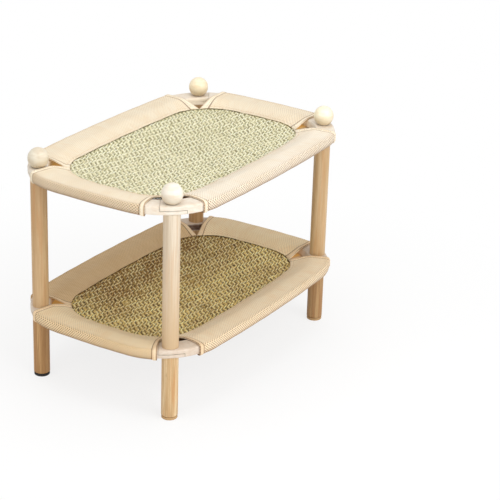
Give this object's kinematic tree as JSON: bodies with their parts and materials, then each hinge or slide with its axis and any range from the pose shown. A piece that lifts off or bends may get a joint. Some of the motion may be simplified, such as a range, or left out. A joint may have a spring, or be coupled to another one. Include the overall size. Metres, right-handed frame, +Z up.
{
  "type": "two tier pet bed",
  "caption": "Two-tier wooden pet bed with round posts, ball finials and woven mats hung in fabric sleeves.",
  "frame": {"origin": "on the floor, midway between the four legs", "axes": "+X along the long side to the right, +Y along the short side to the back, +Z up"},
  "size_m": [0.5632, 0.3734, 0.415],
  "materials": {
    "leg_wood": "bare turned dowel, streaky grain",
    "post_wood": "bare turned dowel, streaky grain",
    "rail_wood": "smooth pale wood",
    "ball_wood": "smooth turned pale wood",
    "sleeve_cloth": "matte mesh cloth",
    "mat_weave": "woven plant-fibre cord, straw and green",
    "steel": "zinc plated thread",
    "brass": "turned brass",
    "black_rubber": "matte black rubber",
    "pale_felt": "wood-coloured felt"
  },
  "bodies": {
    "stand": {"rail_lower_front": "rail_wood", "sleeve_lower_front": "sleeve_cloth", "rail_lower_right": "rail_wood", "sleeve_lower_right": "sleeve_cloth", "rail_lower_back": "rail_wood", "sleeve_lower_back": "sleeve_cloth", "rail_lower_left": "rail_wood", "sleeve_lower_left": "sleeve_cloth", "mat_lower": "mat_weave", "rail_upper_front": "rail_wood", "sleeve_upper_front": "sleeve_cloth", "rail_upper_right": "rail_wood", "sleeve_upper_right": "sleeve_cloth", "rail_upper_back": "rail_wood", "sleeve_upper_back": "sleeve_cloth", "rail_upper_left": "rail_wood", "sleeve_upper_left": "sleeve_cloth", "mat_upper": "mat_weave", "foot_pad_front_left": "pale_felt", "leg_front_left": "leg_wood", "post_front_left": "post_wood", "leg_stud_front_left": "steel", "post_insert_front_left": "brass", "post_stud_front_left": "steel", "foot_pad_front_right": "pale_felt", "leg_front_right": "leg_wood", "post_front_right": "post_wood", "leg_stud_front_right": "steel", "post_insert_front_right": "brass", "post_stud_front_right": "steel", "foot_pad_back_right": "pale_felt", "leg_back_right": "leg_wood", "post_back_right": "post_wood", "leg_stud_back_right": "steel", "post_insert_back_right": "brass", "post_stud_back_right": "steel", "foot_pad_back_left": "black_rubber", "leg_back_left": "leg_wood", "post_back_left": "post_wood", "leg_stud_back_left": "steel", "post_insert_back_left": "brass", "post_stud_back_left": "steel"},
    "insert_front_left": {"finial_insert_front_left": "brass"},
    "finial_front_left": {"finial_ball_front_left": "ball_wood"},
    "insert_front_right": {"finial_insert_front_right": "brass"},
    "finial_front_right": {"finial_ball_front_right": "ball_wood"},
    "insert_back_right": {"finial_insert_back_right": "brass"},
    "finial_back_right": {"finial_ball_back_right": "ball_wood"},
    "insert_back_left": {"finial_insert_back_left": "brass"},
    "finial_back_left": {"finial_ball_back_left": "ball_wood"}
  },
  "joints": [
    {"name": "finial_lift_front_left", "type": "slide", "parent": "stand", "child": "insert_front_left", "axis": [0, 0, 1], "range_m": [0, 0.016]},
    {"name": "finial_turn_front_left", "type": "hinge", "parent": "insert_front_left", "child": "finial_front_left", "pos_m": [-0.235, -0.134, 0.3817], "axis": [0, 0, 1], "range_deg": [0, 4608]},
    {"name": "finial_lift_front_right", "type": "slide", "parent": "stand", "child": "insert_front_right", "axis": [0, 0, 1], "range_m": [0, 0.016]},
    {"name": "finial_turn_front_right", "type": "hinge", "parent": "insert_front_right", "child": "finial_front_right", "pos_m": [0.235, -0.134, 0.3817], "axis": [0, 0, 1], "range_deg": [0, 4608]},
    {"name": "finial_lift_back_right", "type": "slide", "parent": "stand", "child": "insert_back_right", "axis": [0, 0, 1], "range_m": [0, 0.016]},
    {"name": "finial_turn_back_right", "type": "hinge", "parent": "insert_back_right", "child": "finial_back_right", "pos_m": [0.235, 0.134, 0.3817], "axis": [0, 0, 1], "range_deg": [0, 4608]},
    {"name": "finial_lift_back_left", "type": "slide", "parent": "stand", "child": "insert_back_left", "axis": [0, 0, 1], "range_m": [0, 0.016]},
    {"name": "finial_turn_back_left", "type": "hinge", "parent": "insert_back_left", "child": "finial_back_left", "pos_m": [-0.235, 0.134, 0.3817], "axis": [0, 0, 1], "range_deg": [0, 4608]}
  ],
  "couplings": [
    {"joint": "finial_lift_front_left", "follows": "finial_turn_front_left", "m_per_rad": 0.00019894},
    {"joint": "finial_lift_front_right", "follows": "finial_turn_front_right", "m_per_rad": 0.00019894},
    {"joint": "finial_lift_back_right", "follows": "finial_turn_back_right", "m_per_rad": 0.00019894},
    {"joint": "finial_lift_back_left", "follows": "finial_turn_back_left", "m_per_rad": 0.00019894}
  ]
}
